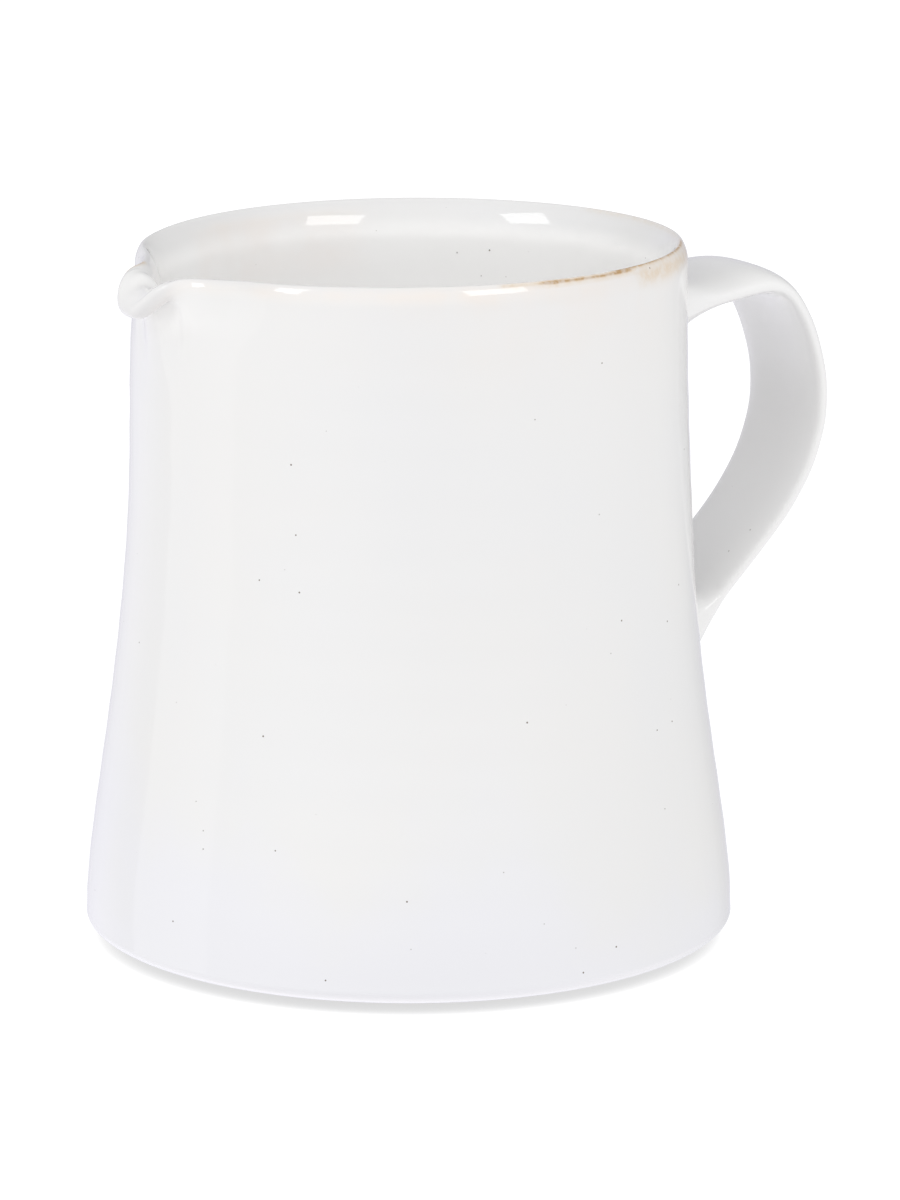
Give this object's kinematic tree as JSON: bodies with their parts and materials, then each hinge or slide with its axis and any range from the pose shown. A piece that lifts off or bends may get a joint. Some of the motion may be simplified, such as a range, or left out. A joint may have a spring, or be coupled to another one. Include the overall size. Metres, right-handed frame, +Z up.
{
  "type": "pitcher",
  "caption": "Wide ceramic pitcher with a flared base, a short pulled spout and a flat strap handle, for pouring drinks or holding stems.",
  "frame": {"origin": "centre of the foot ring's resting face, on the pot's axis", "axes": "+Z up along the pot's axis, +X towards the handle, -X towards the spout"},
  "size_m": [0.1934, 0.162, 0.175],
  "materials": {
    "glaze": "gloss",
    "bare_clay": "matte"
  },
  "bodies": {
    "root": {"body": "glaze", "spout": "glaze", "foot_ring": "bare_clay", "handle": "glaze", "handle_upper_joint": "glaze", "handle_lower_joint": "glaze"}
  },
  "joints": []
}
